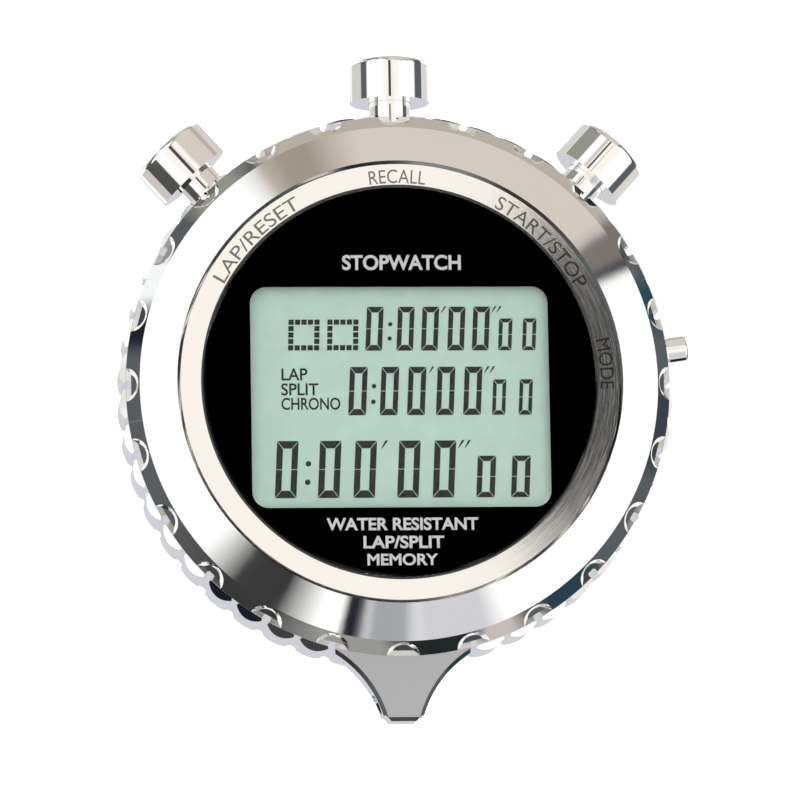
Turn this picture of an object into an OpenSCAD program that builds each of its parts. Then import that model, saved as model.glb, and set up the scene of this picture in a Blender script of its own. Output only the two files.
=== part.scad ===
// Three-button digital stopwatch in a full metal case.
// It lies on its back cover: +Z up through the dial, +Y towards the top button,
// origin at the centre of the back cover's flat outer face. Millimetres.

/* [Case] */
// Radius over the teeth of the coin edge
case_r = 32.25; // [31.5:0.05:40]
// Thickness from the back cover to the top of the lens
case_t = 18.5; // [17.6:0.1:24]
// Teeth round the coin edge
tooth_count = 48; // [36:12:60]
// Depth of the valleys between the rounded teeth
tooth_depth = 0.75; // [0.5:0.05:1]
// Radial step from the teeth in to the case's shoulder
shoulder_step = 0.7; // [0.6:0.05:1.2]
// Height of the slanted facet at the top of each tooth
facet_h = 2.45; // [1.5:0.05:3.5]
// Height above the back at which the teeth start to taper in
taper_z = 5.6; // [4.5:0.1:6.5]
// Radial width of that taper
taper_w = 1.75; // [1.2:0.05:2.2]
// Radius of the slot milled in each valley
groove_r = 0.55; // [0.4:0.05:0.7]
// Depth of the slot under the shoulder at its top end
groove_depth = 0.8; // [0.4:0.05:0.9]
// Depth of the slot under the valley at its lower end
groove_low_depth = 0.3; // [0.2:0.05:0.4]
// Width of the flanges from the teeth in to the case's mouth
flange_w = 6.25; // [5.8:0.05:7]
// Wall from the teeth in to the wide chamber behind the flanges
chamber_wall = 4.05; // [3.6:0.05:4.6]
// Thickness of the back flange
flange_t = 2.5; // [2.2:0.1:3]

/* [Bezel] */
// Height of the lens above the bezel's lip
lens_proud = 0.2; // [0:0.05:0.5]
// Drop of the polished cone from the lip to the chamfer
cone_drop = 1.6; // [1.2:0.05:2]
// Drop of the dimpled chamfer
chamfer_drop = 1.55; // [1.2:0.05:2]
// Radial width of the dimpled chamfer
chamfer_w = 1.55; // [1.1:0.05:1.8]
// Number of dimples round the chamfer
dimple_count = 24; // [12:12:24]
// Radius of a dimple at the chamfer's face
dimple_r = 2; // [1.7:0.05:2.1]
// Radius of a dimple's flat floor
dimple_floor_r = 1.3; // [1:0.05:1.5]
// Depth of a dimple
dimple_depth = 0.45; // [0.3:0.05:0.55]
// Wall of the spigot that enters the case
spigot_wall = 0.75; // [0.6:0.05:0.9]
// Length of the spigot
spigot_h = 1.85; // [1.4:0.05:2.2]

/* [Lens and dial] */
// Radius of the lens
lens_r = 22.75; // [22:0.05:24.5]
// Thickness of the lens
lens_t = 1.5; // [1.2:0.1:1.6]
// Bevel round the lens
lens_bevel = 0.25; // [0.1:0.05:0.4]
// Radial space for the lens gasket
gasket_w = 0.25; // [0.2:0.05:0.35]
// Radial width of the label ring
label_w = 2.4; // [1.5:0.1:2.5]
// Thickness of the label ring at its outer edge
label_t = 0.4; // [0.3:0.05:0.5]
// Fall of the label ring's face towards the lens
label_fall = 0.2; // [0:0.05:0.25]
// Depth and width of the bevel from the lip down to the label ring
lip_bevel = 0.35; // [0.25:0.05:0.6]
// Width of the ledge that carries the lens
ledge_w = 0.95; // [0.8:0.05:1.2]
// Thickness of that ledge
ledge_t = 0.8; // [0.6:0.05:1]
// Thickness of the black dial mask
mask_t = 0.2; // [0.15:0.05:0.3]
// Width of the display window
window_w = 34.5; // [26:0.1:35]
// Height of the display window
window_h = 25.7; // [18:0.1:26]
// Corner radius of the display window
window_corner = 1.9; // [1:0.1:3]
// Distance of the window's centre below the dial's centre
window_drop = 1.8; // [0:0.1:2.2]

/* [Lug] */
// Distance of the lug's tip from the case axis, beyond the teeth
lug_reach = 6.75; // [6:0.05:9]
// Thickness of the lug
lug_t = 4.35; // [4:0.05:5.5]
// Radius of the hollow sides
lug_side_r = 13.2; // [10:0.1:15]
// Half width of the lug at its tip
lug_tip_w = 2.15; // [1.9:0.05:3]
// Chamfer round the front of the lug
lug_edge = 0.45; // [0.2:0.05:0.6]
// Radius of the lanyard hole through the lug
lanyard_r = 1.2; // [0.9:0.05:1.3]
// Wall left outside the lanyard hole
lanyard_wall = 0.95; // [0.8:0.05:1.4]

/* [Buttons] */
// Height of the button axes above the back
axis_z = 9.3; // [8.9:0.05:9.8]
// Angle of the two side buttons from the top button
side_angle = 42.3; // [36:0.1:50]
// Angle of the small mode button above the right-hand side
mode_angle = 8.25; // [4:0.05:12]
// Diameter of a main button's head
head_d = 9.35; // [8:0.05:11]
// Length of a main button's head
head_l = 4.95; // [4:0.05:6]
// Rounding of a main button's outer edge
head_edge = 0.7; // [0.2:0.05:0.9]
// Gap between the teeth and a main button's head
head_gap = 2; // [1.8:0.05:3.2]
// Travel of a main button
travel = 1.2; // [0.8:0.05:1.4]
// Outer diameter of a main button's guide tube
tube_d = 4.85; // [4.6:0.05:6]
// Diameter of a main button's stem
stem_d = 2.4; // [2.2:0.05:2.8]
// Diameter of the mode button's head
mode_d = 3.5; // [3.3:0.05:4.4]
// Rounding of the mode button's outer edge
mode_edge = 0.4; // [0.15:0.05:0.6]
// Height of the mode button above the teeth
mode_proud = 2.55; // [2:0.05:3]
// Travel of the mode button
mode_travel = 0.9; // [0.6:0.05:1]
// Diameter of the mode button's stem
mode_stem_d = 1.6; // [1.4:0.05:1.8]

/* [Back] */
// Thickness of the back cover
cover_t = 1.3; // [1.2:0.05:1.6]
// Radial width of the cover's seat on the back flange
seat_w = 3.9; // [3.7:0.05:4.2]
// Number of back screws
screw_count = 6; // [4:1:8]
// Diameter of a back screw
screw_d = 1.5; // [1.3:0.05:1.6]
// Diameter of a back screw's head
screw_head_d = 2.9; // [2.6:0.05:3]

/* [Module] */
// Thickness of the circuit board
board_t = 1; // [0.8:0.1:1.2]
// Thickness of one display glass
glass_t = 0.55; // [0.4:0.05:0.6]
// Diameter of the battery
battery_d = 20; // [16:0.5:20]
// Thickness of the battery
battery_t = 3.2; // [2.5:0.1:3.2]
// Diameter of the buzzer's metal disc
buzzer_d = 20; // [15:0.5:21]

/* [Clearances] */
// Running clearance between sliding pieces
run_gap = 0.05; // [0.03:0.01:0.08]
// Gap between pieces that are fitted together
fit_gap = 0.02; // [0.01:0.01:0.04]
// Gap round pieces that drop into place
drop_gap = 0.1; // [0.05:0.01:0.15]

/* [Hidden] */

$fn = 96;
over = 1;

// Where the four buttons point, anticlockwise from +X
recall_at = 90;
lap_reset_at = 90 + side_angle;
start_stop_at = 90 - side_angle;
mode_at = mode_angle;

// Bezel and case section
lip_z = case_t - lens_proud;
cone_z = lip_z - cone_drop;
shoulder_z = cone_z - chamfer_drop;
shoulder_r = case_r - shoulder_step;
cone_r = shoulder_r - chamfer_w;
mouth_r = case_r - flange_w;
chamber_r = case_r - chamber_wall;
spigot_r = mouth_r - fit_gap;
spigot_in_r = mouth_r - spigot_wall;
spigot_seat = 0.7;
top_flange_t = spigot_h + spigot_seat;

// Lens seat
seat_r = lens_r + gasket_w;
label_r = seat_r + label_w;
label_z = lip_z - lip_bevel;
lens_z = case_t - lens_t;
mask_z = lens_z - mask_t;
ledge_r = lens_r - ledge_w;
ledge_z = mask_z - ledge_t;

// Coin edge: each tooth is an arc that meets its neighbours at the valleys
pitch = 360 / tooth_count;
valley_r = case_r - tooth_depth;
lobe_c = (pow(case_r, 2) - pow(valley_r, 2)) / (2 * (case_r - valley_r * cos(pitch / 2)));
lobe_r = case_r - lobe_c;
groove_top = shoulder_r - groove_depth;
groove_low = valley_r - groove_low_depth;

// Flat gaskets between the case's flanges and the bezel and back cover
gasket_inset = 0.5;
gasket_ring_w = 0.9;
gasket_in = mouth_r + gasket_inset;
gasket_out = gasket_in + gasket_ring_w;
gasket_t = 0.58;
gasket_slot_t = 0.6;

// Back
rim_z = 0.3;
cover_r = mouth_r + seat_w;
recess_r = cover_r + run_gap;
flange_z = cover_t + flange_t;
screw_inset = 2.6;
screw_floor = 0.2;
back_screw_at = mouth_r + screw_inset;
back_screw_l = flange_t - screw_floor;
head_h = (screw_head_d - screw_d) / 2;
head_sink = 0.05;
cross_l = 1.9;
cross_w = 0.32;
cross_h = 0.4;

// Lug
lug_tip = case_r + lug_reach;
lug_z = shoulder_z - lug_t;
lug_hollow = 3.3;
lug_side_y = -lug_tip - lug_hollow;
lug_side_x = lug_tip_w + sqrt(pow(lug_side_r, 2) - pow(lug_tip + lug_side_y, 2));
lug_chamfer = 0.5;
lug_root_w = 7.8;
lug_root_y = -case_r + 4;
lanyard_z = shoulder_z - lug_t / 2;
lanyard_y = -lug_tip + lanyard_r + lanyard_wall;

// Module heights
board_z = axis_z - board_t / 2;
board_top = board_z + board_t;
board_r = mouth_r - 4 * drop_gap;
polariser_t = 0.15;
reflector_t = 0.2;
lcd_top = ledge_z - drop_gap;
front_glass_z = lcd_top - polariser_t - glass_t;
rear_glass_z = front_glass_z - glass_t;
reflector_z = rear_glass_z - reflector_t;
lcd_w = window_w + 2.5;
lcd_h = window_h + 2.5;
lcd_ledge = 1.15;
film_trim = 0.6;
frame_r = spigot_in_r - drop_gap;
zebra_t = 1;
zebra_w = window_w - 2;
chip_room_w = 24;
chip_room_h = 14;
chip_r = 4.5;
chip_h = 1.1;
cap_count = 5;
cap_w = 0.9;
cap_l = 1.6;
cap_h = 0.8;
cap_x = 12;
cap_y = 4;
cap_step_x = 2.2;
cap_step_y = 2;
battery_x = -5;
battery_y = -6;
battery_drop = 1.4;
battery_z = board_z - battery_drop - battery_t;
battery_step_w = 1.4;
battery_step_t = 0.4;
holder_wall = 1.4;
holder_in_r = battery_d / 2 + drop_gap;
holder_gap_w = 8;
strap_t = 0.3;
strap_w = 5;
contact_w = 3;
contact_t = 0.2;
spacer_r = mouth_r - 2 * drop_gap;
spacer_wall = 2.2;
spacer_lift = 0.05;
spacer_slot_l = 6;
buzzer_x = 6;
buzzer_y = 7;
buzzer_z = cover_t + spacer_lift;
buzzer_t = 0.2;
ceramic_inset = 2.8;
ceramic_t = 0.2;
lead_x = 4;
lead_y = 3;
lead_r = 1.2;
lead_wire = 0.28;
lead_turns = 9;
module_screw_angles = [165, 235, 305];
module_screw_at = 21.8;
module_screw_r = 0.7;
module_screw_l = 3.1;
module_head_r = 1.25;
module_head_t = 0.6;
crystal_r = 1;
crystal_l = 6;
crystal_x = 13;

// Main button, measured outwards from the case axis
tube_r = tube_d / 2;
stem_r = stem_d / 2;
tube_inset = 0.2;
stem_overhang = 0.8;
tube_in = chamber_r - tube_inset;
tip_u = tube_in - stem_overhang;
skirt_u = case_r + head_gap;
head_u = skirt_u + head_l;
crown_t = 1.1;
ceiling_u = head_u - crown_t;
tube_spare = 0.4;
tube_out = ceiling_u - travel - tube_spare;
socket_l = 0.6;
spring_turns = 7;
neck_step = 0.4;
tip_bevel = 0.2;
clip_play = 0.03;
ring_play = 0.01;
guide_l = 3.6;
spring_floor = tube_in + guide_l;
tube_wall = 0.475;
spring_room_r = tube_r - tube_wall;
seal_inset = 1.4;
seal_u = tube_in + seal_inset;
seal_slot = 0.55;
seal_depth = 0.41;
seal_r = 0.205;
clip_t = 0.35;
clip_slot = 0.4;
clip_r = 1.9;
spring_wire = 0.34;

// Mode button, measured the same way
mode_r = mode_d / 2;
mode_stem_r = mode_stem_d / 2;
mode_wall = 0.55;
mode_tube_r = mode_r + mode_wall;
mode_tube_inset = 0.25;
mode_tube_out = case_r - mode_tube_inset;
mode_guide_l = 1.8;
mode_floor = tube_in + mode_guide_l;
mode_spare = 0.3;
mode_skirt = mode_floor + mode_travel + mode_spare;
mode_end = case_r + mode_proud;
mode_crown_t = 1.2;
mode_ceiling = mode_end - mode_crown_t;
mode_cap_wall = 0.35;
mode_room_r = mode_r - mode_cap_wall;
mode_socket_l = 0.4;
mode_seal_inset = 1.2;
mode_seal_u = tube_in + mode_seal_inset;
mode_seal_slot = 0.36;
mode_seal_depth = 0.3;
mode_seal_r = 0.15;
mode_clip_r = 1.3;
mode_wire = 0.2;
mode_turns = 8;

// Contact blades
blade_t = 0.15;
blade_gap = 0.05;
blade_u = tip_u - blade_gap - blade_t;
blade_w = 2.6;
blade_foot = 3.3;
blade_low = axis_z - 2.2;
blade_top = axis_z + 1.3;

// Colours
chrome = [0.86, 0.86, 0.87];
satin = [0.78, 0.77, 0.75];
black = [0.05, 0.05, 0.06];
gold = [0.83, 0.68, 0.35];

// Turns a piece drawn along +Z so that it lies on a button axis
module along(angle) {
    translate([0, 0, axis_z]) rotate([0, 0, angle]) rotate([0, 90, 0]) children();
}

// Solid of revolution from one outline of [radius, height] points
module turned(points) {
    rotate_extrude() polygon(points);
}

// Cylinder along +Z with its upper edge rounded
module rounded_plug(r, low, high, edge) {
    rotate_extrude() {
        translate([0, low]) square([r, high - low - edge]);
        translate([0, low]) square([r - edge, high - low]);
        translate([r - edge, high - edge]) circle(r = edge);
    }
}

// Flat ring
module ring(outer, inner, low, high) {
    difference() {
        translate([0, 0, low]) cylinder(r = outer, h = high - low);
        translate([0, 0, low - over]) cylinder(r = inner, h = high - low + 2 * over);
    }
}

// Upright box centred on x and y
module block(w, d, low, high) {
    translate([-w / 2, -d / 2, low]) cube([w, d, high - low]);
}

// Upright plate with true round corners
module rounded_block(w, d, corner, low, high) {
    block(w - 2 * corner, d, low, high);
    block(w, d - 2 * corner, low, high);
    for (x = [-1, 1], y = [-1, 1])
        translate([x * (w / 2 - corner), y * (d / 2 - corner), low])
            cylinder(r = corner, h = high - low);
}

// Round-wire coil spring along +Z, as one swept tube
module coil(low, high, mean_r, wire_r, turns) {
    steps = 16;
    sides = 6;
    rings = turns * steps;
    rise = (high - low - 2 * wire_r) / rings;
    points = [
        for (i = [0 : rings], k = [0 : sides - 1])
            let (a = i * 360 / steps, b = k * 360 / sides, r = mean_r + wire_r * cos(b))
            [r * cos(a), r * sin(a), low + wire_r + i * rise + wire_r * sin(b)]
    ];
    walls = [
        for (i = [0 : rings - 1], k = [0 : sides - 1])
            let (n = (k + 1) % sides, p = i * sides, q = p + sides)
            [p + k, q + k, q + n, p + n]
    ];
    first = [for (k = [0 : sides - 1]) k];
    last = [for (k = [sides - 1 : -1 : 0]) rings * sides + k];
    polyhedron(points, concat([first], walls, [last]), convexity = 10);
}

// ---- Case ----

module tooth_outline() {
    circle(r = valley_r);
    for (i = [0 : tooth_count - 1])
        rotate((i + 0.5) * pitch) translate([lobe_c, 0]) circle(r = lobe_r);
}

module case_section() {
    turned([
        [mouth_r, cover_t], [recess_r, cover_t], [recess_r, rim_z], [case_r - taper_w, rim_z],
        [case_r, taper_z], [case_r, shoulder_z - facet_h], [shoulder_r, shoulder_z],
        [mouth_r, shoulder_z], [mouth_r, shoulder_z - top_flange_t],
        [chamber_r, shoulder_z - top_flange_t], [chamber_r, flange_z], [mouth_r, flange_z]
    ]);
}

module grooves() {
    drop = shoulder_z - taper_z;
    lean = atan((groove_low - groove_top) / drop);
    for (i = [0 : tooth_count - 1])
        rotate([0, 0, i * pitch]) translate([groove_top + groove_r, 0, shoulder_z])
            rotate([0, -lean, 0]) translate([0, 0, -shoulder_z]) cylinder(r = groove_r, h = case_t);
}

module lug() {
    difference() {
        translate([-lug_root_w, -lug_tip, lug_z])
            cube([2 * lug_root_w, lug_tip + lug_root_y, lug_t]);
        for (side = [-1, 1]) {
            translate([side * lug_side_x, lug_side_y, lug_z - over])
                cylinder(r = lug_side_r, h = lug_t + 2 * over);
            translate([side * lug_side_x, lug_side_y, shoulder_z - lug_edge])
                cylinder(r1 = lug_side_r, r2 = lug_side_r + lug_edge + over, h = lug_edge + over);
            translate([side * lug_tip_w, -lug_tip, lug_z - over]) rotate([0, 0, 45])
                translate([-lug_chamfer, -lug_chamfer, 0])
                    cube([2 * lug_chamfer, 2 * lug_chamfer, lug_t + 2 * over]);
        }
        translate([-lug_root_w, -lug_tip, shoulder_z - lug_edge]) rotate([45, 0, 0])
            translate([0, -2 * lug_edge, 0]) cube([2 * lug_root_w, 4 * lug_edge, 2 * lug_edge]);
        translate([-lug_root_w, lanyard_y, lanyard_z]) rotate([0, 90, 0])
            cylinder(r = lanyard_r, h = 2 * lug_root_w);
        cylinder(r = chamber_r + 1, h = case_t);
    }
}

module case_middle() {
    color(chrome) difference() {
        union() {
            difference() {
                intersection() {
                    case_section();
                    linear_extrude(height = case_t) tooth_outline();
                }
                grooves();
            }
            lug();
        }
        for (angle = [recall_at, lap_reset_at, start_stop_at])
            along(angle) translate([0, 0, mouth_r]) cylinder(r = tube_r + fit_gap, h = 2 * flange_w);
        along(mode_at) translate([0, 0, mouth_r])
            cylinder(r = mode_tube_r + fit_gap, h = 2 * flange_w);
        gasket_slot(shoulder_z - gasket_slot_t, shoulder_z + over);
        gasket_slot(cover_t - over, cover_t + gasket_slot_t);
        back_screw_holes(screw_d / 2 + fit_gap, cover_t - over, cover_t + back_screw_l);
    }
}

module gasket_slot(low, high) {
    ring(gasket_out, gasket_in, low, high);
}

module gasket(low, high) {
    ring(gasket_out - fit_gap, gasket_in + fit_gap, low, high);
}

module back_screw_holes(r, low, high) {
    for (i = [0 : screw_count - 1])
        rotate([0, 0, (i + 0.5) * 360 / screw_count]) translate([back_screw_at, 0, low])
            cylinder(r = r, h = high - low);
}

// ---- Bezel, lens and dial ----

module bezel() {
    slope = atan2(chamfer_drop, chamfer_w);
    color(chrome) difference() {
        turned([
            [ledge_r, ledge_z], [ledge_r, mask_z], [seat_r, mask_z], [seat_r, label_z - label_t],
            [label_r, label_z - label_t], [label_r, label_z], [label_r + lip_bevel, lip_z],
            [cone_r, cone_z], [shoulder_r, shoulder_z], [spigot_r, shoulder_z],
            [spigot_r, shoulder_z - spigot_h], [spigot_in_r, shoulder_z - spigot_h],
            [spigot_in_r, ledge_z]
        ]);
        for (i = [0 : dimple_count - 1])
            rotate([0, 0, i * 360 / dimple_count]) translate([shoulder_r, 0, shoulder_z])
                rotate([0, slope, 0]) dimple();
    }
}

// Shallow well that widens upwards from a flat floor
module dimple() {
    flare = (dimple_r - dimple_floor_r) / dimple_depth;
    translate([0, 0, -dimple_depth])
        cylinder(r1 = dimple_floor_r, r2 = dimple_r + flare * over, h = dimple_depth + over);
}

module bezel_gasket() {
    color(black) gasket(shoulder_z - gasket_t, shoulder_z);
}

module label_ring() {
    color(satin) turned([
        [seat_r, label_z - label_t], [label_r - fit_gap, label_z - label_t],
        [label_r - fit_gap, label_z], [seat_r, label_z - label_fall]
    ]);
}

module lens() {
    color([0.85, 0.9, 0.92, 0.35]) turned([
        [0, lens_z], [lens_r, lens_z], [lens_r, case_t - lens_bevel],
        [lens_r - lens_bevel, case_t], [0, case_t]
    ]);
}

module lens_gasket() {
    color(black) ring(seat_r - fit_gap, lens_r + fit_gap, mask_z, label_z - label_fall);
}

module dial_mask() {
    color(black) difference() {
        translate([0, 0, mask_z]) cylinder(r = lens_r, h = mask_t);
        translate([0, -window_drop, 0])
            rounded_block(window_w, window_h, window_corner, mask_z - over, lens_z + over);
    }
}

// ---- Display ----

module lcd_plate(trim_w, trim_h, low, high) {
    translate([0, -window_drop, 0]) block(lcd_w - trim_w, lcd_h - trim_h, low, high);
}

module lcd_polariser() {
    color([0.72, 0.83, 0.78]) lcd_plate(film_trim, film_trim, lcd_top - polariser_t, lcd_top);
}

module lcd_front_glass() {
    color([0.8, 0.88, 0.85, 0.5]) lcd_plate(0, 0, front_glass_z, front_glass_z + glass_t);
}

module lcd_rear_glass() {
    color([0.8, 0.88, 0.85, 0.5]) lcd_plate(0, 2 * lcd_ledge, rear_glass_z, front_glass_z);
}

module lcd_reflector() {
    color([0.7, 0.75, 0.7]) lcd_plate(film_trim, 2 * lcd_ledge + film_trim, reflector_z, rear_glass_z);
}

module zebra_places(w, t, low, high) {
    for (side = [-1, 1])
        translate([0, -window_drop + side * (lcd_h - zebra_t) / 2, 0]) block(w, t, low, high);
}

module zebra_strips() {
    color([0.85, 0.45, 0.5]) zebra_places(zebra_w, zebra_t - drop_gap, board_top, front_glass_z);
}

// ---- Electronics ----

module module_frame() {
    color([0.88, 0.88, 0.85]) difference() {
        translate([0, 0, board_top]) cylinder(r = frame_r, h = lcd_top - board_top);
        lcd_plate(-2 * drop_gap, -2 * drop_gap, front_glass_z, lcd_top + over);
        lcd_plate(-2 * drop_gap, 2 * lcd_ledge - 2 * drop_gap, reflector_z, lcd_top + over);
        zebra_places(zebra_w + 2 * drop_gap, zebra_t + drop_gap, board_top - over, lcd_top);
        block(chip_room_w, chip_room_h, board_top - over, lcd_top);
        for (angle = module_screw_angles)
            rotate([0, 0, angle]) translate([module_screw_at, 0, board_top - over])
                cylinder(r = module_screw_r + fit_gap, h = module_screw_l + 2 * drop_gap + over);
    }
}

module circuit_board() {
    color([0.1, 0.38, 0.2]) difference() {
        translate([0, 0, board_z]) cylinder(r = board_r, h = board_t);
        for (angle = module_screw_angles)
            rotate([0, 0, angle]) translate([module_screw_at, 0, board_z - over])
                cylinder(r = module_screw_r + fit_gap, h = board_t + 2 * over);
    }
}

module chip_cover() {
    ball = (pow(chip_r, 2) + pow(chip_h, 2)) / (2 * chip_h);
    color(black) intersection() {
        translate([0, 0, board_top]) cylinder(r = chip_r + 1, h = 2 * chip_h);
        translate([0, 0, board_top + chip_h - ball]) sphere(r = ball, $fn = 128);
    }
}

module quartz_crystal() {
    color(satin) translate([crystal_x, -crystal_l, board_z - crystal_r - fit_gap])
        rotate([-90, 0, 0]) cylinder(r = crystal_r, h = crystal_l, $fn = 64);
}

module capacitors() {
    color([0.72, 0.6, 0.45])
        for (i = [0 : cap_count - 1])
            translate([cap_x + cap_step_x * i, cap_y - cap_step_y * i, 0])
                block(cap_w, cap_l, board_z - cap_h, board_z);
}

module battery_holder() {
    color([0.9, 0.9, 0.88]) translate([battery_x, battery_y, 0]) difference() {
        ring(holder_in_r + holder_wall, holder_in_r, battery_z + battery_step_t, board_z);
        translate([0, 0, battery_z]) rotate([0, 0, 135])
            translate([0, -holder_gap_w / 2, 0])
                cube([2 * battery_d, holder_gap_w, battery_t]);
    }
}

module battery() {
    color(satin) translate([battery_x, battery_y, 0]) {
        translate([0, 0, battery_z]) cylinder(r = battery_d / 2, h = battery_t - battery_step_t);
        translate([0, 0, battery_z + battery_t - battery_step_t])
            cylinder(r = battery_d / 2 - battery_step_w, h = battery_step_t);
    }
}

module battery_clip() {
    reach = holder_in_r + holder_wall + drop_gap;
    color(gold) translate([battery_x, battery_y, 0]) rotate([90, 0, 0]) translate([0, 0, -strap_w / 2])
        linear_extrude(height = strap_w) difference() {
            translate([-reach - strap_t, battery_z - strap_t])
                square([2 * (reach + strap_t), board_z - battery_z + strap_t]);
            translate([-reach, battery_z]) square([2 * reach, board_z]);
        }
}

module battery_contact() {
    low = battery_z + battery_t;
    color(gold) translate([battery_x, battery_y, 0]) rotate([90, 0, 0]) translate([0, 0, -contact_w / 2])
        linear_extrude(height = contact_w) polygon([
            [-6.5, board_z], [-6.5, board_z - contact_t], [-5, board_z - contact_t], [-1, low], [1, low],
            [5, board_z - contact_t], [6.5, board_z - contact_t], [6.5, board_z], [4.9, board_z],
            [0.9, low + contact_t], [-0.9, low + contact_t], [-4.9, board_z]
        ]);
}

module module_screws() {
    color(satin)
        for (angle = module_screw_angles)
            rotate([0, 0, angle]) translate([module_screw_at, 0, 0]) {
                translate([0, 0, board_z - module_head_t])
                    cylinder(r = module_head_r, h = module_head_t, $fn = 64);
                translate([0, 0, board_z - drop_gap])
                    cylinder(r = module_screw_r, h = drop_gap + board_t + module_screw_l, $fn = 64);
            }
}

module module_spacer() {
    color([0.2, 0.2, 0.22]) difference() {
        ring(spacer_r, spacer_r - spacer_wall, cover_t + spacer_lift, board_z);
        for (angle = [recall_at, lap_reset_at, start_stop_at, mode_at])
            rotate([0, 0, angle]) translate([spacer_r - spacer_wall / 2, 0, 0])
                block(spacer_slot_l, blade_w + 1, blade_low, board_z + over);
    }
}

module buzzer_plate() {
    color(gold) translate([buzzer_x, buzzer_y, buzzer_z]) cylinder(r = buzzer_d / 2, h = buzzer_t);
}

module buzzer_ceramic() {
    color([0.92, 0.9, 0.84]) translate([buzzer_x, buzzer_y, buzzer_z + buzzer_t])
        cylinder(r = buzzer_d / 2 - ceramic_inset, h = ceramic_t);
}

module buzzer_spring() {
    color(satin) translate([buzzer_x + lead_x, buzzer_y + lead_y, 0])
        coil(buzzer_z + buzzer_t + ceramic_t, board_z, lead_r, lead_wire / 2, lead_turns);
}

// ---- Back ----

module back_cover() {
    color(satin) difference() {
        turned([
            [0, 0], [cover_r - rim_z, 0], [cover_r, rim_z], [cover_r, cover_t], [0, cover_t]
        ]);
        back_screw_holes(screw_d / 2 + fit_gap, -over, cover_t + over);
        for (i = [0 : screw_count - 1])
            rotate([0, 0, (i + 0.5) * 360 / screw_count]) translate([back_screw_at, 0, 0]) turned([
                [0, -over], [screw_head_d / 2 + fit_gap, -over],
                [screw_head_d / 2 + fit_gap, head_sink],
                [screw_d / 2 + fit_gap, head_sink + head_h], [0, head_sink + head_h]
            ]);
    }
}

module back_gasket() {
    color(black) gasket(cover_t, cover_t + gasket_t);
}

module back_screws() {
    color(chrome)
        for (i = [0 : screw_count - 1])
            rotate([0, 0, (i + 0.5) * 360 / screw_count]) translate([back_screw_at, 0, 0]) difference() {
                turned([
                    [0, head_sink], [screw_head_d / 2, head_sink], [screw_d / 2, head_sink + head_h],
                    [screw_d / 2, cover_t + back_screw_l - drop_gap],
                    [0, cover_t + back_screw_l - drop_gap]
                ]);
                block(cross_l, cross_w, -over, cross_h);
                block(cross_w, cross_l, -over, cross_h);
            }
}

// ---- Main buttons ----

module guide_tube() {
    color(chrome) turned([
        [stem_r + run_gap, tube_in], [tube_r, tube_in], [tube_r, tube_out], [spring_room_r, tube_out],
        [spring_room_r, spring_floor], [stem_r + run_gap, spring_floor]
    ]);
}

module button_head() {
    color(chrome) difference() {
        rounded_plug(head_d / 2, skirt_u, head_u, head_edge);
        translate([0, 0, skirt_u - over])
            cylinder(r = tube_r + run_gap, h = ceiling_u - skirt_u + over);
        cylinder(r = stem_r, h = ceiling_u + socket_l);
    }
}

module button_stem() {
    color(satin) turned([
        [0, tip_u], [stem_r - tip_bevel, tip_u], [stem_r, tip_u + tip_bevel],
        [stem_r, tube_in - clip_slot], [stem_r - neck_step, tube_in - clip_slot],
        [stem_r - neck_step, tube_in], [stem_r, tube_in], [stem_r, seal_u],
        [stem_r - seal_depth, seal_u], [stem_r - seal_depth, seal_u + seal_slot],
        [stem_r, seal_u + seal_slot], [stem_r, ceiling_u + socket_l], [0, ceiling_u + socket_l]
    ]);
}

module seal_ring(centre_r, wire_r, at) {
    color(black) translate([0, 0, at]) rotate_extrude()
        translate([centre_r, 0]) circle(r = wire_r, $fn = 48);
}

module snap_clip(outer, inner) {
    color(satin) difference() {
        ring(outer, inner, tube_in - clip_t - clip_play, tube_in - clip_play);
        translate([0, -inner * 0.8, tube_in - clip_slot - over])
            cube([outer + over, inner * 1.6, clip_slot + 2 * over]);
    }
}

module button_seal() {
    seal_ring(stem_r - seal_depth + seal_r + ring_play, seal_r, seal_u + seal_slot / 2);
}

module button_clip() {
    snap_clip(clip_r, stem_r - neck_step + fit_gap);
}

module button_spring() {
    color(satin) coil(spring_floor, ceiling_u, (stem_r + spring_room_r) / 2, spring_wire / 2, spring_turns);
}

// ---- Mode button ----

module mode_sleeve() {
    color(chrome) turned([
        [mode_stem_r + run_gap, tube_in], [mode_tube_r, tube_in], [mode_tube_r, mode_tube_out],
        [mode_r + run_gap, mode_tube_out], [mode_r + run_gap, mode_floor],
        [mode_stem_r + run_gap, mode_floor]
    ]);
}

module mode_cap() {
    color(chrome) difference() {
        rounded_plug(mode_r, mode_skirt, mode_end, mode_edge);
        translate([0, 0, mode_skirt - over])
            cylinder(r = mode_room_r, h = mode_ceiling - mode_skirt + over);
        cylinder(r = mode_stem_r, h = mode_ceiling + mode_socket_l);
    }
}

module mode_rod() {
    inner = mode_stem_r - mode_seal_depth;
    color(satin) turned([
        [0, tip_u], [mode_stem_r, tip_u], [mode_stem_r, tube_in - clip_slot],
        [inner, tube_in - clip_slot], [inner, tube_in], [mode_stem_r, tube_in],
        [mode_stem_r, mode_seal_u], [inner, mode_seal_u], [inner, mode_seal_u + mode_seal_slot],
        [mode_stem_r, mode_seal_u + mode_seal_slot], [mode_stem_r, mode_ceiling + mode_socket_l],
        [0, mode_ceiling + mode_socket_l]
    ]);
}

module mode_ring() {
    seal_ring(mode_stem_r - mode_seal_depth + mode_seal_r + ring_play, mode_seal_r,
        mode_seal_u + mode_seal_slot / 2);
}

module mode_snap() {
    snap_clip(mode_clip_r, mode_stem_r - mode_seal_depth + fit_gap);
}

module mode_coil() {
    color(satin) coil(mode_floor, mode_ceiling, (mode_stem_r + mode_room_r) / 2, mode_wire / 2, mode_turns);
}

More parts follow.
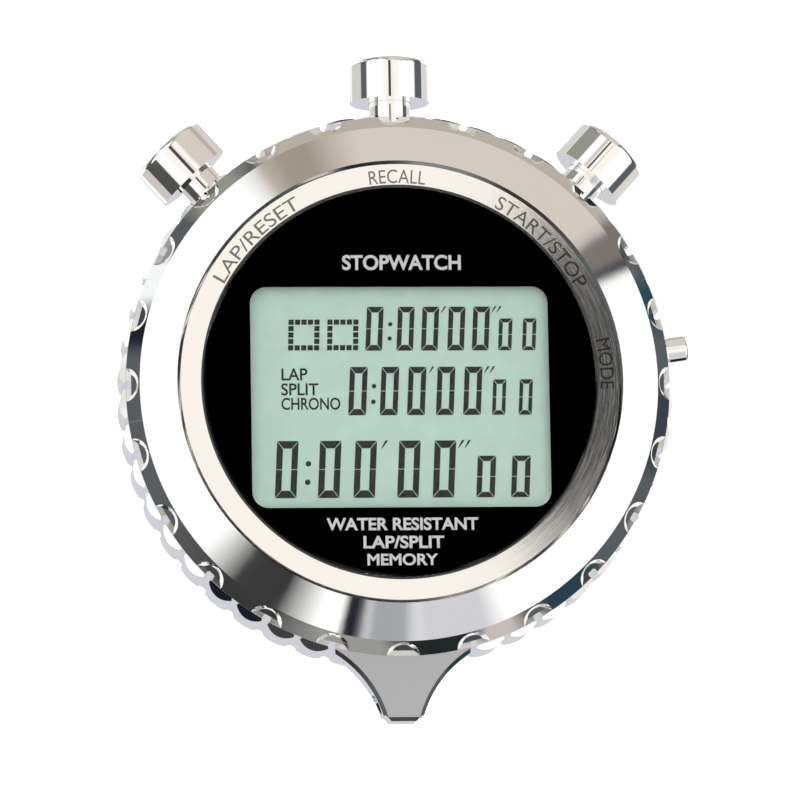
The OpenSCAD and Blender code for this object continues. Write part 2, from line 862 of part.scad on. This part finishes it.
// Blade standing on the spacer, which a stem bends against the edge of the board
module contact_blade(angle) {
    color(gold) rotate([0, 0, angle]) translate([blade_u, -blade_w / 2, blade_low]) {
        translate([-blade_foot, 0, 0]) cube([blade_foot + blade_t, blade_w, blade_t]);
        cube([blade_t, blade_w, blade_top - blade_low]);
    }
}

case_middle();
bezel();
bezel_gasket();
label_ring();
lens();
lens_gasket();
dial_mask();
lcd_polariser();
lcd_front_glass();
lcd_rear_glass();
lcd_reflector();
zebra_strips();
module_frame();
circuit_board();
chip_cover();
quartz_crystal();
capacitors();
battery_holder();
battery();
battery_clip();
battery_contact();
module_screws();
module_spacer();
buzzer_plate();
buzzer_ceramic();
buzzer_spring();
back_cover();
back_gasket();
back_screws();
along(recall_at) guide_tube();  // recall_tube
along(lap_reset_at) guide_tube();  // lap_reset_tube
along(start_stop_at) guide_tube();  // start_stop_tube
along(mode_at) mode_sleeve();  // mode_tube
along(recall_at) button_head();  // recall_head
along(lap_reset_at) button_head();  // lap_reset_head
along(start_stop_at) button_head();  // start_stop_head
along(mode_at) mode_cap();  // mode_head
along(recall_at) button_stem();  // recall_stem
along(lap_reset_at) button_stem();  // lap_reset_stem
along(start_stop_at) button_stem();  // start_stop_stem
along(mode_at) mode_rod();  // mode_stem
along(recall_at) button_seal();  // recall_seal
along(lap_reset_at) button_seal();  // lap_reset_seal
along(start_stop_at) button_seal();  // start_stop_seal
along(mode_at) mode_ring();  // mode_seal
along(recall_at) button_clip();  // recall_clip
along(lap_reset_at) button_clip();  // lap_reset_clip
along(start_stop_at) button_clip();  // start_stop_clip
along(mode_at) mode_snap();  // mode_clip
along(recall_at) button_spring();  // recall_spring
along(lap_reset_at) button_spring();  // lap_reset_spring
along(start_stop_at) button_spring();  // start_stop_spring
along(mode_at) mode_coil();  // mode_spring
contact_blade(recall_at);  // recall_contact
contact_blade(lap_reset_at);  // lap_reset_contact
contact_blade(start_stop_at);  // start_stop_contact
contact_blade(mode_at);  // mode_contact
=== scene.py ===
import math

import bmesh
import bpy
from mathutils import Matrix, Vector


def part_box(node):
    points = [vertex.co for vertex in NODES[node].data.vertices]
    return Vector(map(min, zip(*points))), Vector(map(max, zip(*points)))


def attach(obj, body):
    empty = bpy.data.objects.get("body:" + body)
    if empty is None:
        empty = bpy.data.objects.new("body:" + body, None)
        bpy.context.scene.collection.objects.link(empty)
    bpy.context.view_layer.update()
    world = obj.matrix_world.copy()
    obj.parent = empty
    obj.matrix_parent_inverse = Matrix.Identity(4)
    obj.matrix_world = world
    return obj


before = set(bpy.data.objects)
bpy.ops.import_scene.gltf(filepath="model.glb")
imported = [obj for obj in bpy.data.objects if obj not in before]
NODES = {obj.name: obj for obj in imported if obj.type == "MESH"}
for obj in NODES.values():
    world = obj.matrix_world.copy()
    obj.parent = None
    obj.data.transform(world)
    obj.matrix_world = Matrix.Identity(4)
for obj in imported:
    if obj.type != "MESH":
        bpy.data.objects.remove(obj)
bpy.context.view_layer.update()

MM = 0.001
SCENE = bpy.context.scene

# Camera: degrees off the dial's axis, metres from the aim, which is in millimetres
TILT = 8.633
SWING = 5.113
ROLL = -0.976
AIM = Vector((-0.18, -2.34, 18.5))
DISTANCE = 0.65
FOCAL_LENGTH = 254.5


# ---- Camera -------------------------------------------------------------

def make_camera():
    """Looks down at the dial from the lower left, a long lens from 65 cm."""
    tilt, swing, roll = math.radians(TILT), math.radians(SWING), math.radians(ROLL)
    away = Vector((-math.sin(swing) * math.cos(tilt), -math.sin(tilt),
                   math.cos(swing) * math.cos(tilt)))
    aim = AIM * MM
    right = Vector((0, 1, 0)).cross(away).normalized()
    up = away.cross(right)
    right, up = (right * math.cos(roll) + up * math.sin(roll),
                 up * math.cos(roll) - right * math.sin(roll))
    data = bpy.data.cameras.new("camera")
    data.sensor_width = 36
    data.lens = FOCAL_LENGTH
    data.clip_start = 0.01
    data.clip_end = 20
    camera = bpy.data.objects.new("camera", data)
    place = Matrix((right, up, away)).transposed().to_4x4()
    place.translation = aim + away * DISTANCE
    camera.matrix_world = place
    SCENE.collection.objects.link(camera)
    SCENE.camera = camera


# ---- Node helpers -------------------------------------------------------

class Finish:
    """A procedural material under construction."""

    def __init__(self, name, color, metallic=0.0, roughness=0.5, **sockets):
        self.material = bpy.data.materials.new(name)
        self.material.use_nodes = True
        self.tree = self.material.node_tree
        self.shader = self.tree.nodes["Principled BSDF"]
        self.set("Base Color", (*color, 1))
        self.set("Metallic", metallic)
        self.set("Roughness", roughness)
        for socket, value in sockets.items():
            self.set(socket.replace("_", " "), value)

    def set(self, socket, value):
        self.shader.inputs[socket].default_value = value

    def node(self, kind, **values):
        made = self.tree.nodes.new("ShaderNode" + kind)
        for key, value in values.items():
            if key in made.inputs:
                made.inputs[key].default_value = value
            else:
                setattr(made, key, value)
        return made

    def link(self, start, end):
        if isinstance(end, str):
            end = self.shader.inputs[end]
        self.tree.links.new(start, end)

    def place(self, scale=(1, 1, 1), turn=(0, 0, 0), move=(0, 0, 0)):
        """Object coordinates in millimetres, centred and turned as asked."""
        coords = self.node("TexCoord")
        mapping = self.node("Mapping")
        mapping.inputs["Location"].default_value = move
        mapping.inputs["Rotation"].default_value = turn
        mapping.inputs["Scale"].default_value = [s / MM for s in scale]
        self.link(coords.outputs["Object"], mapping.inputs["Vector"])
        return mapping.outputs["Vector"]

    def noise(self, where, scale, detail=4.0, rough=0.55):
        made = self.node("TexNoise", Scale=scale, Detail=detail, Roughness=rough)
        self.link(where, made.inputs["Vector"])
        return made.outputs["Fac"]

    def spread(self, value, low, high, low_in=0.0, high_in=1.0):
        made = self.node("MapRange")
        for socket, number in (("From Min", low_in), ("From Max", high_in),
                               ("To Min", low), ("To Max", high)):
            made.inputs[socket].default_value = number
        self.link(value, made.inputs["Value"])
        return made.outputs["Result"]

    def math(self, operation, *values):
        made = self.node("Math", operation=operation)
        for i, value in enumerate(values):
            if isinstance(value, (int, float)):
                made.inputs[i].default_value = value
            else:
                self.link(value, made.inputs[i])
        return made.outputs["Value"]

    def mix(self, share, first, second):
        made = self.node("Mix", data_type="RGBA")
        self.link(share, made.inputs[0])
        for socket, value in ((6, first), (7, second)):
            if isinstance(value, tuple):
                made.inputs[socket].default_value = (*value, 1)
            else:
                self.link(value, made.inputs[socket])
        return made.outputs[2]

    def bump(self, height, strength, distance):
        made = self.node("Bump", Strength=strength, Distance=distance)
        self.link(height, made.inputs["Height"])
        self.link(made.outputs["Normal"], "Normal")


def give(finish, *names):
    """Puts a finish on CAD nodes."""
    for name in names:
        mesh = NODES[name].data
        mesh.materials.clear()
        mesh.materials.append(finish.material)


# ---- Finishes -----------------------------------------------------------

def polished(name, color=(0.93, 0.925, 0.915), roughness=0.045, seed=0.0):
    """Bright plated metal: faint waviness and hazy handling marks."""
    f = Finish(name, color, metallic=1.0, roughness=roughness)
    where = f.place(move=(seed, seed, 0))
    haze = f.noise(where, 0.12, detail=6)
    f.link(f.spread(haze, roughness * 0.7, roughness * 1.9, 0.35, 0.75), "Roughness")
    tone = f.noise(where, 0.05, detail=2)
    f.link(f.mix(tone, tuple(c * 0.985 for c in color), color), "Base Color")
    wave = f.noise(where, 0.35, detail=2)
    f.bump(wave, 0.12, 0.00002)
    return f


def brushed(name, color, roughness, grain):
    """Satin metal with a fine directional or circular grain."""
    f = Finish(name, color, metallic=1.0, roughness=roughness)
    where = f.place()
    split = f.node("SeparateXYZ")
    f.link(where, split.inputs[0])
    x, y, _ = split.outputs
    lines = f.node("CombineXYZ")
    if grain == "circular":
        radius = f.math("SQRT", f.math("ADD", f.math("MULTIPLY", x, x),
                                       f.math("MULTIPLY", y, y)))
        f.link(f.math("MULTIPLY", radius, 14.0), lines.inputs[0])
        f.link(f.math("MULTIPLY", f.math("ARCTAN2", y, x), 2.0), lines.inputs[1])
    else:
        f.link(f.math("MULTIPLY", x, 0.6), lines.inputs[0])
        f.link(f.math("MULTIPLY", y, 12.0), lines.inputs[1])
    streak = f.noise(lines.outputs[0], 1.0, detail=3)
    f.link(f.mix(streak, tuple(c * 0.93 for c in color), color), "Base Color")
    f.link(f.spread(streak, roughness * 0.85, roughness * 1.15, 0.3, 0.7), "Roughness")
    f.bump(streak, 0.25, 0.00001)
    return f


def moulded(name, color, roughness=0.45, grit=2.5, depth=0.00001, **sockets):
    """Plastic, rubber or ceramic with a fine moulded grain."""
    f = Finish(name, color, roughness=roughness, **sockets)
    where = f.place()
    grain = f.noise(where, grit, detail=5)
    f.link(f.mix(grain, tuple(c * 0.88 for c in color), tuple(min(1, c * 1.08) for c in color)),
           "Base Color")
    f.link(f.spread(grain, roughness * 0.85, roughness * 1.15, 0.3, 0.7), "Roughness")
    f.bump(grain, 0.3, depth)
    return f


def clear(name, color=(1, 1, 1), roughness=0.0, ior=1.5):
    """Clear sheet: mineral glass or film."""
    f = Finish(name, color, roughness=roughness, Transmission_Weight=1.0, IOR=ior)
    where = f.place()
    smear = f.noise(where, 0.06, detail=3)
    f.link(f.spread(smear, 0.0, 0.02, 0.45, 0.8), "Roughness")
    return f


# Printed layers and display segments stand this far proud of what carries them
INK = 0.03 * MM
BUTTONS = ("recall", "lap_reset", "start_stop", "mode")


def case_chrome():
    """Polished case whose lug has a satin front face."""
    f = polished("case_chrome")
    split = f.node("SeparateXYZ")
    f.link(f.place(), split.inputs[0])
    x, y, z = split.outputs
    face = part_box("bezel_gasket")[1].z / MM
    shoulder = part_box("bezel")[1].x / MM
    radius = f.math("SQRT", f.math("ADD", f.math("MULTIPLY", x, x), f.math("MULTIPLY", y, y)))
    level = f.spread(z, 0.0, 1.0, face - 0.05, face - 0.01)
    outside = f.spread(radius, 0.0, 1.0, shoulder, shoulder + 0.05)
    on_lug = f.math("MULTIPLY", level, outside)
    shine = f.shader.inputs["Base Color"].links[0].from_socket
    gloss = f.shader.inputs["Roughness"].links[0].from_socket
    grain = f.noise(f.place(scale=(8, 1, 1)), 1.5, detail=3)
    f.link(f.mix(on_lug, shine, (0.45, 0.455, 0.48)), "Base Color")
    rough = f.node("Mix", data_type="FLOAT")
    f.link(on_lug, rough.inputs[0])
    f.link(gloss, rough.inputs[2])
    f.link(f.spread(grain, 0.3, 0.42, 0.3, 0.7), rough.inputs[3])
    f.link(rough.outputs[0], "Roughness")
    return f


def mask_black():
    """Black printed mask whose colour turns blue towards the left edge."""
    f = moulded("mask_black", (0.003, 0.003, 0.004), 0.5, Specular_IOR_Level=0.1)
    split = f.node("SeparateXYZ")
    f.link(f.place(), split.inputs[0])
    blue = f.spread(split.outputs[0], 1.0, 0.0, -22.0, -14.0)
    black = f.shader.inputs["Base Color"].links[0].from_socket
    f.link(f.mix(blue, black, (0.004, 0.003, 0.022)), "Base Color")
    return f


def finish_nodes():
    """Every CAD node gets the finish of the real piece."""
    give(case_chrome(), "case_middle")
    give(polished("bezel_chrome", seed=7.0), "bezel")
    give(polished("button_chrome", seed=15.0), *[b + "_head" for b in BUTTONS])
    give(polished("tube_chrome", seed=21.0), *[b + "_tube" for b in BUTTONS])
    give(brushed("label_satin", (0.93, 0.92, 0.90), 0.07, "circular"), "label_ring")
    give(brushed("cover_satin", (0.72, 0.72, 0.71), 0.30, "straight"), "back_cover")
    give(brushed("part_steel", (0.66, 0.66, 0.65), 0.35, "straight"),
         "quartz_crystal", "module_screws", "buzzer_spring", "back_screws",
         *[b + s for b in BUTTONS for s in ("_stem", "_clip", "_spring")])
    give(brushed("cell_steel", (0.75, 0.75, 0.75), 0.22, "circular"), "battery")
    give(brushed("contact_brass", (0.80, 0.62, 0.30), 0.3, "straight"),
         "battery_clip", "battery_contact", "buzzer_plate",
         *[b + "_contact" for b in BUTTONS])
    give(moulded("seal_rubber", (0.02, 0.02, 0.02), 0.6), "bezel_gasket", "lens_gasket",
         "back_gasket", *[b + "_seal" for b in BUTTONS])
    give(mask_black(), "dial_mask")
    give(moulded("display_film", (0.588, 0.826, 0.717), 0.6, grit=0.6, depth=0.000002,
                 Specular_IOR_Level=0.15), "lcd_polariser", "lcd_reflector")
    give(clear("display_glass"), "lcd_front_glass", "lcd_rear_glass")
    give(moulded("zebra_rubber", (0.55, 0.25, 0.27), 0.55), "zebra_strips")
    give(moulded("frame_plastic", (0.70, 0.70, 0.66), 0.45), "module_frame", "battery_holder")
    give(moulded("spacer_plastic", (0.05, 0.05, 0.055), 0.5), "module_spacer")
    give(moulded("board_mask", (0.02, 0.14, 0.05), 0.3), "circuit_board")
    give(moulded("chip_epoxy", (0.012, 0.012, 0.012), 0.25), "chip_cover")
    give(moulded("ceramic", (0.68, 0.62, 0.50), 0.5), "capacitors", "buzzer_ceramic")
    give(clear("lens_glass"), "lens")


# ---- Lettering ----------------------------------------------------------

def add_piece(name, mesh, finish):
    """Puts a new piece of the case into the model."""
    piece = bpy.data.objects.new(name, mesh)
    mesh.materials.clear()
    mesh.materials.append(finish.material)
    SCENE.collection.objects.link(piece)
    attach(piece, "case")


def lettering(name, words, height, width, weight):
    """A printed word as a mesh in millimetres, centred on its own middle."""
    data = bpy.data.curves.new(name, "FONT")
    data.body = words
    data.bevel_depth = weight
    data.bevel_resolution = 0
    data.resolution_u = 6
    text = bpy.data.objects.new(name, data)
    SCENE.collection.objects.link(text)
    bpy.context.view_layer.update()
    depsgraph = bpy.context.evaluated_depsgraph_get()
    mesh = bpy.data.meshes.new_from_object(text.evaluated_get(depsgraph))
    bpy.data.objects.remove(text)
    low = [min(v.co[i] for v in mesh.vertices) for i in range(3)]
    high = [max(v.co[i] for v in mesh.vertices) for i in range(3)]
    wanted = (width, height, INK / MM)
    grow = Matrix.Diagonal([w / (h - l) for w, h, l in zip(wanted, high, low)]).to_4x4()
    middle = Vector([-(h + l) / 2 for h, l in zip(high, low)])
    mesh.transform(grow @ Matrix.Translation(middle))
    return mesh


def dial_word(name, words, x, y, width, height, level, weight):
    """A flat word at x, y on the surface at level."""
    mesh = lettering(name, words, height, width, weight)
    mesh.transform(Matrix.Translation((x * MM, y * MM, level + INK / 2)) @ Matrix.Scale(MM, 4))
    return mesh


def make_dial_words(ink):
    """White words printed on the dial mask."""
    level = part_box("dial_mask")[1].z
    for name, words, x, y, width, height in (
            ("word_stopwatch", "STOPWATCH", 0.35, 13.88, 13.8, 1.82),
            ("word_water", "WATER RESISTANT", -0.05, -16.57, 17.5, 1.5),
            ("word_split", "LAP/SPLIT", 0.08, -18.66, 9.33, 1.5),
            ("word_memory", "MEMORY", -0.07, -20.68, 8.18, 1.4)):
        mesh = dial_word(name, words, x, y, width, height, level, 0.034)
        add_piece(name, mesh, ink)


def ring_word(name, words, angle, span, ink):
    """A word bent round the label ring, whose face falls towards the lens."""
    radius, height, fall, weight = 23.95, 1.6, 0.2, 0.002
    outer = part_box("label_ring")[1]
    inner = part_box("lens_gasket")[1].x / MM
    slope = fall / (outer.x / MM - inner)
    mesh = lettering(name, words, height, math.radians(span) * radius, weight)
    for v in mesh.vertices:
        turn = math.radians(angle) - v.co.x / radius
        reach = radius + v.co.y
        drop = (outer.x / MM - reach) * slope
        v.co = Vector((reach * math.cos(turn) * MM, reach * math.sin(turn) * MM,
                       outer.z + (v.co.z - drop) * MM + INK / 2))
    add_piece(name, mesh, ink)


def make_ring_words(ink):
    """Button names printed round the label ring."""
    for name, words, angle, span in (
            ("ring_recall", "RECALL", 90, 15.8),
            ("ring_lap_reset", "LAP/RESET", 134.8, 31.5),
            ("ring_start_stop", "START/STOP", 44.3, 33.7),
            ("ring_mode", "MODE", 4.6, 14.1)):
        ring_word(name, words, angle, span, ink)


# ---- Display ------------------------------------------------------------

def flat_piece(bm, name, lean, ink):
    """Leans the flat marks, gives them the ink's thickness and lays them on the display."""
    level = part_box("lcd_polariser")[1].z
    base = min(v.co.y for v in bm.verts)
    for v in bm.verts:
        v.co.x += (v.co.y - base) * lean
    bmesh.ops.scale(bm, verts=bm.verts, vec=(MM, MM, MM))
    raised = bmesh.ops.extrude_face_region(bm, geom=bm.faces[:])["geom"]
    bmesh.ops.translate(bm, verts=[g for g in raised if isinstance(g, bmesh.types.BMVert)],
                        vec=(0, 0, INK))
    bmesh.ops.translate(bm, verts=bm.verts, vec=(0, 0, level + INK / 100))
    bmesh.ops.recalc_face_normals(bm, faces=bm.faces)
    mesh = bpy.data.meshes.new(name)
    bm.to_mesh(mesh)
    bm.free()
    add_piece(name, mesh, ink)


def rectangle(bm, x, y, width, height):
    """A flat rectangle whose lower left corner is at x, y."""
    made = bmesh.ops.create_grid(bm, x_segments=1, y_segments=1, size=0.5)["verts"]
    bmesh.ops.scale(bm, verts=made, vec=(width, height, 1))
    bmesh.ops.translate(bm, verts=made, vec=(x + width / 2, y + height / 2, 0))
    return made


def dot(bm, x, y, radius):
    made = bmesh.ops.create_circle(bm, cap_ends=True, segments=20, radius=radius)["verts"]
    bmesh.ops.translate(bm, verts=made, vec=(x, y, 0))


def digit(rows, x, y, width, height):
    """A seven-segment nought: a mitred frame cut across its middle."""
    stem, bar, gap = width * 0.31, height * 0.14, 0.035
    bm = bmesh.new()
    squeeze = stem / bar
    rectangle(bm, 0, 0, width / squeeze, height)
    bmesh.ops.inset_individual(bm, faces=bm.faces[:], thickness=bar, use_even_offset=True)
    middle = min(bm.faces, key=lambda f: (f.calc_center_median() -
                                          Vector((width / squeeze / 2, height / 2, 0))).length)
    bmesh.ops.delete(bm, geom=[middle], context="FACES")
    bmesh.ops.scale(bm, verts=bm.verts, vec=(squeeze, 1, 1))
    bmesh.ops.bisect_plane(bm, geom=bm.verts[:] + bm.edges[:] + bm.faces[:],
                           plane_co=(0, height / 2, 0), plane_no=(0, 1, 0))
    bmesh.ops.split_edges(bm, edges=bm.edges[:])
    rims = bmesh.ops.inset_individual(bm, faces=bm.faces[:], thickness=gap,
                                      use_even_offset=True)["faces"]
    bmesh.ops.delete(bm, geom=rims, context="FACES")
    bmesh.ops.bevel(bm, geom=bm.verts[:], affect="VERTICES", offset=gap, segments=2,
                    profile=0.5, material=-1)
    bmesh.ops.translate(bm, verts=bm.verts, vec=(x, y, 0))
    mesh = bpy.data.meshes.new("digit")
    bm.to_mesh(mesh)
    bm.free()
    rows.from_mesh(mesh)
    bpy.data.meshes.remove(mesh)


def tick(bm, x, y, height):
    """A minute or second mark: a slanted stroke that narrows downwards."""
    top, foot, lean = height * 0.34, height * 0.1, height * 0.45
    made = rectangle(bm, x, y, top, height)
    for v in made:
        if v.co.y < y + height / 2:
            v.co.x = x if v.co.x < x + top / 2 else x + foot
        else:
            v.co.x += lean


def display_row(name, left, base, large, small, steps, ink):
    """One line of the display: hours, colon, minutes, seconds and small hundredths."""
    colon, pitch, skip = steps
    dot_r = large[0] * 0.125
    bm = bmesh.new()
    digit(bm, left, base, *large)
    x = left + colon
    for share in (0.28, 0.6):
        dot(bm, (left + large[0] + x) / 2, base + large[1] * share, dot_r)
    digit(bm, x, base, *large)
    digit(bm, x + pitch, base, *large)
    mark = large[1] * 0.14
    tick(bm, x + pitch + large[0] + (skip - large[0]) * 0.2, base + large[1] - mark, mark)
    x += pitch + skip
    digit(bm, x, base, *large)
    digit(bm, x + pitch, base, *large)
    for i in range(2):
        tick(bm, x + pitch + large[0] * 1.08 + i * mark * 0.8, base + large[1] - mark, mark)
    x += pitch + skip
    digit(bm, x, base, *small)
    digit(bm, x + pitch * 0.98, base, *small)
    flat_piece(bm, name, 0.055, ink)


def make_display(ink):
    """The liquid-crystal segments that show on the film."""
    display_row("display_lap", -3.95, 3.71, (2.0, 5.2), (1.62, 3.8), (3.6, 2.85, 3.05), ink)
    display_row("display_split", -6.05, -3.82, (2.12, 5.7), (1.6, 4.2), (3.65, 3.15, 3.35), ink)
    display_row("display_total", -14.65, -13.42, (2.55, 6.7), (2.2, 4.9), (4.95, 4.1, 5.05), ink)
    bm = bmesh.new()
    cell, pitch, count, foot = 0.6, 0.75, 5, 3.8
    for left in (-12.85, -8.35):
        for i in range(count):
            for j in range(count):
                if i in (0, count - 1) or j in (0, count - 1):
                    rectangle(bm, left + i * pitch, foot + j * pitch, cell, cell)
    flat_piece(bm, "display_counters", 0.03, ink)
    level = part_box("lcd_polariser")[1].z
    for name, words, x, y, width in (
            ("display_word_lap", "LAP", -12.15, 1.01, 3.0),
            ("display_word_split", "SPLIT", -11.55, -0.74, 4.3),
            ("display_word_chrono", "CHRONO", -10.3, -2.43, 6.8)):
        add_piece(name, dial_word(name, words, x, y, width, 1.42, level, 0.014),
                  ink)


# ---- Studio -------------------------------------------------------------

def make_floor():
    """Pale paper, with a faint glow of its own so that shadows stay faint."""
    bm = bmesh.new()
    bmesh.ops.create_grid(bm, x_segments=1, y_segments=1, size=3.0)
    mesh = bpy.data.meshes.new("floor")
    bm.to_mesh(mesh)
    bm.free()
    floor = bpy.data.objects.new("floor", mesh)
    f = Finish("floor_paper", (0.9, 0.9, 0.9), roughness=0.9, Emission_Color=(1, 1, 1, 1),
               Emission_Strength=0.3)
    grain = f.noise(f.place(), 0.3)
    f.link(f.mix(grain, (0.89, 0.89, 0.89), (0.91, 0.91, 0.91)), "Base Color")
    mesh.materials.append(f.material)
    floor.visible_glossy = False
    SCENE.collection.objects.link(floor)


def shade(red, green, blue):
    """Light that polished metal shows as this display colour, 0 to 255."""
    plating = 0.92
    return [(((c / 255 + 0.055) / 1.055) ** 2.4) / plating for c in (red, green, blue)] + [1]


class Studio:
    """A white tent with cards in it, which only polished metal picks up.

    Directions are an azimuth from +X and a polar angle from +Z, in degrees.
    """

    def __init__(self, plain, tent):
        world = bpy.data.worlds.new("tent")
        SCENE.world = world
        world.use_nodes = True
        self.tree = world.node_tree
        self.tree.nodes.clear()
        coords = self.new("TexCoord")
        split = self.new("SeparateXYZ")
        self.tree.links.new(coords.outputs["Generated"], split.inputs[0])
        self.x, self.y, z = split.outputs
        self.azimuth = self.calc("MULTIPLY", self.calc("ARCTAN2", self.y, self.x), 180 / math.pi)
        held = self.calc("MAXIMUM", self.calc("MINIMUM", z, 1.0), -1.0)
        self.polar = self.calc("MULTIPLY", self.calc("ARCCOSINE", held), 180 / math.pi)
        self.plain = plain
        self.color = self.new("RGB").outputs[0]
        self.color.default_value = tent

    def new(self, kind):
        return self.tree.nodes.new("ShaderNode" + kind)

    def calc(self, operation, *values):
        made = self.new("Math")
        made.operation = operation
        for i, value in enumerate(values):
            if isinstance(value, (int, float)):
                made.inputs[i].default_value = value
            else:
                self.tree.links.new(value, made.inputs[i])
        return made.outputs[0]

    def window(self, value, low, high, soft, wrap=False):
        """1 between low and high, falling to 0 over a soft edge."""
        away = self.calc("SUBTRACT", value, (low + high) / 2)
        if wrap:
            away = self.calc("WRAP", away, 180.0, -180.0)
        edge = self.new("MapRange")
        self.tree.links.new(self.calc("ABSOLUTE", away), edge.inputs["Value"])
        edge.inputs["From Min"].default_value = (high - low + soft) / 2
        edge.inputs["From Max"].default_value = (high - low - soft) / 2
        return edge.outputs[0]

    def cover(self, share, color):
        mix = self.new("Mix")
        mix.data_type = "RGBA"
        self.tree.links.new(share, mix.inputs[0])
        self.tree.links.new(self.color, mix.inputs[6])
        mix.inputs[7].default_value = color
        self.color = mix.outputs[2]

    def card(self, azimuth, polar, color, soft=4.0, soft_polar=4.0):
        """A card that spans these azimuths and polar angles."""
        wide = self.window(self.azimuth, *azimuth, soft, wrap=True)
        tall = self.window(self.polar, *polar, soft_polar)
        self.cover(self.calc("MULTIPLY", wide, tall), color)

    def overhead(self, x, y, color, soft):
        """A card overhead that spans these direction cosines."""
        wide = self.window(self.x, *x, soft)
        deep = self.window(self.y, *y, soft)
        above = self.window(self.polar, 0, 40, 4.0)
        self.cover(self.calc("MULTIPLY", self.calc("MULTIPLY", wide, deep), above), color)

    def finish(self):
        shown = self.new("Background")
        self.tree.links.new(self.color, shown.inputs[0])
        plain = self.new("Background")
        plain.inputs[0].default_value = self.plain
        path = self.new("LightPath")
        pick = self.new("MixShader")
        self.tree.links.new(path.outputs["Is Glossy Ray"], pick.inputs[0])
        self.tree.links.new(plain.outputs[0], pick.inputs[1])
        self.tree.links.new(shown.outputs[0], pick.inputs[2])
        out = self.new("OutputWorld")
        self.tree.links.new(pick.outputs[0], out.inputs[0])


def make_world():
    """The studio round the watch."""
    studio = Studio(plain=(2.6, 2.6, 2.6, 1), tent=(1.12, 1.12, 1.11, 1))
    all_round = (-180, 180)
    # Table under the watch, and the dark rim of the room between table and tent
    studio.card(all_round, (158, 190), shade(203, 205, 211), soft=0.1, soft_polar=8)
    studio.card(all_round, (74, 103), shade(86, 92, 95), soft=0.1)
    studio.card((141, 152), (76, 106), shade(244, 248, 247))
    studio.card((155, 163), (76, 106), shade(28, 32, 43))
    studio.card((-118, -89), (78, 104), shade(150, 150, 146))
    studio.card((-85, -68), (78, 104), shade(30, 38, 38))
    studio.card((-65, -56), (78, 104), shade(196, 188, 184))
    studio.card((-49, -34), (78, 104), shade(36, 62, 74))
    studio.card((-10, 8), (78, 104), shade(56, 64, 71))
    studio.card((19, 29), (78, 106), shade(43, 72, 85))
    # Beige wall beyond the top of the watch, with a dark edge on its right
    studio.card((42, 111), (20, 112), shade(211, 202, 192), soft=2)
    studio.card((96, 111), (20, 76), shade(158, 149, 138), soft=10)
    studio.card((42, 113), (88, 112), shade(182, 174, 163))
    studio.card((44, 60), (106, 152), shade(212, 204, 198))
    studio.card((33.5, 42), (34, 112), shade(120, 114, 110), soft=3)
    studio.card((33.5, 35.5), (34, 112), shade(58, 62, 70), soft=1.5)
    studio.card((117, 130), (54, 104), shade(146, 146, 138))
    # Black flag on the near left, and a grey screen on the near right
    studio.card((-150, -136), (54, 98), shade(82, 82, 82))
    studio.card((-140, -113), (20, 104), shade(52, 52, 52), soft=13)
    studio.card((-140, -120), (126, 152), shade(25, 30, 38))
    studio.card((-120, -100), (126, 152), shade(62, 62, 64))
    studio.card((-99.5, -93), (24, 48), shade(18, 17, 30), soft=2.5)
    studio.card((-93, -78), (24, 70), shade(160, 164, 168), soft=6)
    studio.card((-78, -56), (24, 70), shade(206, 205, 211), soft=6)
    studio.card((-102, -78), (104, 122), shade(118, 88, 78))
    # Pale table edges that the button heads pick up
    studio.card((158, 171), (95, 142), shade(208, 205, 198))
    studio.card((158, 171), (142, 160), shade(229, 227, 223))
    studio.card((6, 18), (103, 138), shade(216, 213, 208))
    studio.card((6, 18), (138, 160), shade(231, 230, 226))
    studio.card((-36, -20), (99, 136), shade(218, 212, 205))
    studio.card((-36, -20), (136, 160), shade(232, 230, 226))
    studio.card((112, 128), (106, 144), shade(210, 210, 206))
    studio.card((112, 128), (144, 160), shade(229, 228, 224))
    studio.card((-152, -138), (98, 136), shade(204, 197, 190))
    studio.card((52, 86), (152, 166), shade(76, 86, 94))
    # Warm scrim overhead, dark beyond its left edge, with the camera's own dark spot
    studio.card(all_round, (-20, 26), shade(251, 246, 238), soft=0.1, soft_polar=8)
    studio.overhead((-0.12, 0.004), (-0.08, 0.36), shade(66, 66, 66), 0.006)
    studio.overhead((0.045, 0.133), (0.108, 0.195), shade(8, 8, 10), 0.012)
    studio.finish()


def make_lights():
    """Two large soft boxes, which polished metal doesn't mirror."""
    for name, place, size, power in (
            ("overhead", (0.15, 0.25, 1.1), 1.2, 5.0),
            ("left_box", (-0.9, -0.2, 0.8), 0.8, 2.0)):
        data = bpy.data.lights.new(name, "AREA")
        data.shape = "SQUARE"
        data.size = size
        data.energy = power
        light = bpy.data.objects.new(name, data)
        light.location = place
        light.rotation_euler = (-Vector(place)).to_track_quat("-Z", "Y").to_euler()
        light.visible_glossy = False
        SCENE.collection.objects.link(light)


# ---- Build --------------------------------------------------------------

SCENE.view_settings.view_transform = "Standard"
make_camera()
make_world()
make_lights()
make_floor()
finish_nodes()
make_dial_words(moulded("white_ink", (0.98, 0.98, 0.98), 0.6, Specular_IOR_Level=0.1))
make_ring_words(brushed("etched_grey", (0.20, 0.19, 0.18), 0.08, "circular"))
make_display(moulded("segment_black", (0.001, 0.001, 0.001), 0.9, Specular_IOR_Level=0.0))
